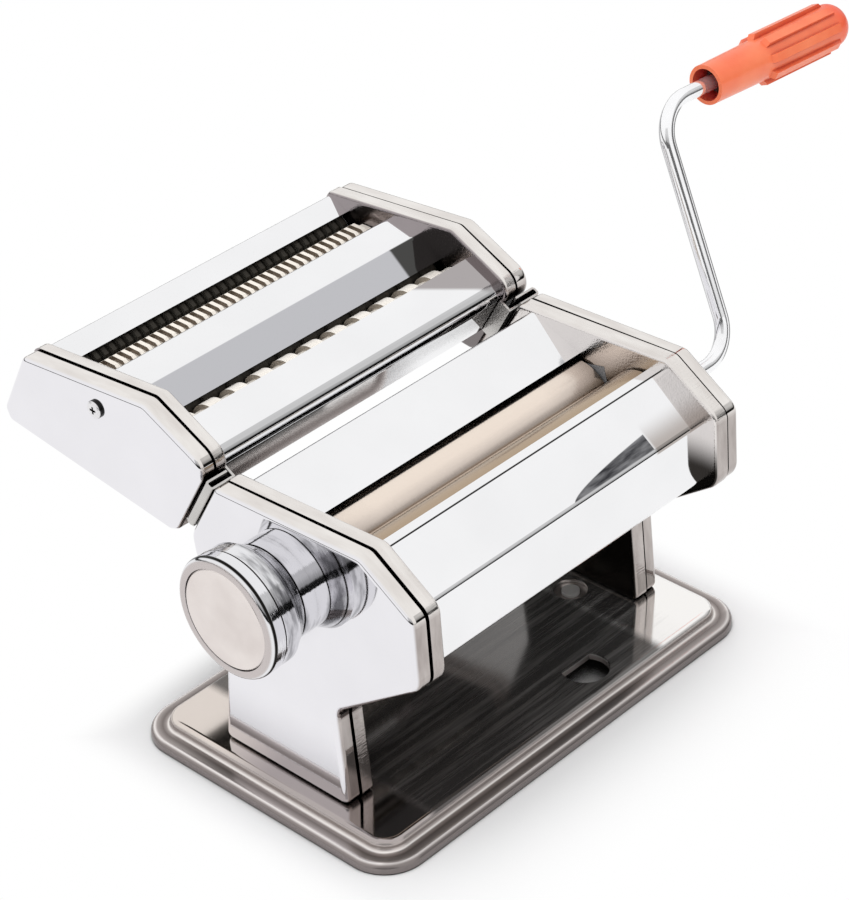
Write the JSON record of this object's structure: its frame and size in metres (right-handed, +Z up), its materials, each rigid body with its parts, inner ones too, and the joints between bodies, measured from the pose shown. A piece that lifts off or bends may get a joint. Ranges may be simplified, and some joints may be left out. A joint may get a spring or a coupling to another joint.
{
  "type": "hand-cranked pasta machine",
  "caption": "Hand-cranked pasta machine with smooth rollers, a thickness knob, an orange-gripped crank and a lift-off double cutter head on slanted rails.",
  "frame": {"origin": "on the table, under the middle of the base tray", "axes": "+X along the rollers from the knob to the crank, +Y from the front to the cutter head at the back, +Z up"},
  "size_m": [0.3591, 0.2192, 0.2078],
  "materials": {
    "polished_steel": "mirror-polished stainless sheet and chromed turned parts",
    "satin_steel": "satin steel",
    "roller_alloy": "satin turned alloy with a warm tint",
    "brushed_face": "brushed round face",
    "orange_plastic": "smooth moulded plastic",
    "black_rubber": "moulded rubber",
    "grey_plastic": "moulded bearing plastic",
    "white_plastic": "food-safe plastic"
  },
  "bodies": {
    "frame": {"base_tray": "polished_steel", "base_feet": "black_rubber", "base_screws": "satin_steel", "inner_plate_left": "satin_steel", "inner_plate_right": "satin_steel", "side_cover_left": "polished_steel", "side_cover_right": "polished_steel", "rail_left": "satin_steel", "rail_right": "satin_steel", "drive_bushings": "grey_plastic", "axle_bushings": "grey_plastic", "index_ring": "polished_steel", "tie_rods": "satin_steel", "tie_rods_nuts": "satin_steel", "scraper_rods": "satin_steel", "front_scraper": "white_plastic", "rear_scraper": "white_plastic", "rear_guide": "polished_steel", "front_guide": "polished_steel"},
    "drive": {"drive_roller": "roller_alloy", "drive_gear": "satin_steel"},
    "carriage": {"bearing_blocks": "grey_plastic"},
    "adjust": {"adjust_roller": "roller_alloy", "adjust_gear": "satin_steel"},
    "selector": {"adjust_axle": "satin_steel", "knob_washer": "satin_steel", "knob_spring": "satin_steel"},
    "knob": {"knob_body": "polished_steel", "knob_cap": "brushed_face", "knob_pin": "satin_steel"},
    "crank": {"crank_rod": "polished_steel", "grip_washer": "satin_steel"},
    "handle": {"grip": "orange_plastic"},
    "head": {"head_plate_left": "satin_steel", "head_plate_right": "satin_steel", "head_cover_left": "polished_steel", "head_cover_right": "polished_steel", "tongues": "satin_steel", "head_front_guard": "polished_steel", "head_middle_ridge": "polished_steel", "head_rear_guard": "polished_steel", "head_rods": "satin_steel", "head_rods_nuts": "satin_steel", "head_posts": "satin_steel", "head_screws": "satin_steel", "cutter_bushings": "grey_plastic", "wide_comb_front": "satin_steel", "wide_comb_rear": "satin_steel", "narrow_comb_front": "satin_steel", "narrow_comb_rear": "satin_steel"},
    "wide_front": {"wide_cutter_front": "satin_steel", "wide_gear_front": "satin_steel", "wide_socket": "satin_steel"},
    "wide_rear": {"wide_cutter_rear": "satin_steel", "wide_gear_rear": "satin_steel"},
    "narrow_front": {"narrow_cutter_front": "satin_steel", "narrow_gear_front": "satin_steel", "narrow_socket": "satin_steel"},
    "narrow_rear": {"narrow_cutter_rear": "satin_steel", "narrow_gear_rear": "satin_steel"}
  },
  "joints": [
    {"name": "roller_drive", "type": "hinge", "parent": "frame", "child": "drive", "pos_m": [0, -0.0394, 0.105], "axis": [1, 0, 0], "continuous": true},
    {"name": "thickness_turn", "type": "hinge", "parent": "frame", "child": "selector", "pos_m": [0, -0.00651, 0.09789], "axis": [1, 0, 0], "range_deg": [0, 160]},
    {"name": "roller_shift", "type": "slide", "parent": "frame", "child": "carriage", "axis": [0, 0.9774, -0.2113], "range_m": [0, 0.0022]},
    {"name": "roller_follow", "type": "hinge", "parent": "carriage", "child": "adjust", "pos_m": [0, -0.00763, 0.09813], "axis": [1, 0, 0], "continuous": true},
    {"name": "knob_pull", "type": "slide", "parent": "selector", "child": "knob", "axis": [-1, 0, 0], "range_m": [0, 0.004], "stiffness_N_per_m": 1500, "springref_m": -0.002},
    {"name": "crank_pull", "type": "slide", "parent": "drive", "child": "crank", "axis": [1, 0, 0], "range_m": [0, 0.012]},
    {"name": "grip_spin", "type": "hinge", "parent": "crank", "child": "handle", "pos_m": [0.1288, -0.00235, 0.20003], "axis": [0.9988, -0.0175, -0.0449], "continuous": true},
    {"name": "head_lift", "type": "slide", "parent": "frame", "child": "head", "axis": [0, -0.5045, 0.8634], "range_m": [0, 0.03]},
    {"name": "wide_drive", "type": "hinge", "parent": "head", "child": "wide_front", "pos_m": [0, 0.058, 0.124], "axis": [1, 0, 0], "continuous": true},
    {"name": "wide_follow", "type": "hinge", "parent": "head", "child": "wide_rear", "pos_m": [0, 0.0756, 0.124], "axis": [1, 0, 0], "continuous": true},
    {"name": "narrow_drive", "type": "hinge", "parent": "head", "child": "narrow_front", "pos_m": [0, 0.1072, 0.1265], "axis": [1, 0, 0], "continuous": true},
    {"name": "narrow_follow", "type": "hinge", "parent": "head", "child": "narrow_rear", "pos_m": [0, 0.1248, 0.1265], "axis": [1, 0, 0], "continuous": true}
  ],
  "couplings": [
    {"joint": "roller_follow", "follows": "roller_drive", "ratio": -1},
    {"joint": "roller_shift", "follows": "thickness_turn", "m_per_rad": 0.000787},
    {"joint": "wide_follow", "follows": "wide_drive", "ratio": -1},
    {"joint": "narrow_follow", "follows": "narrow_drive", "ratio": -1}
  ]
}
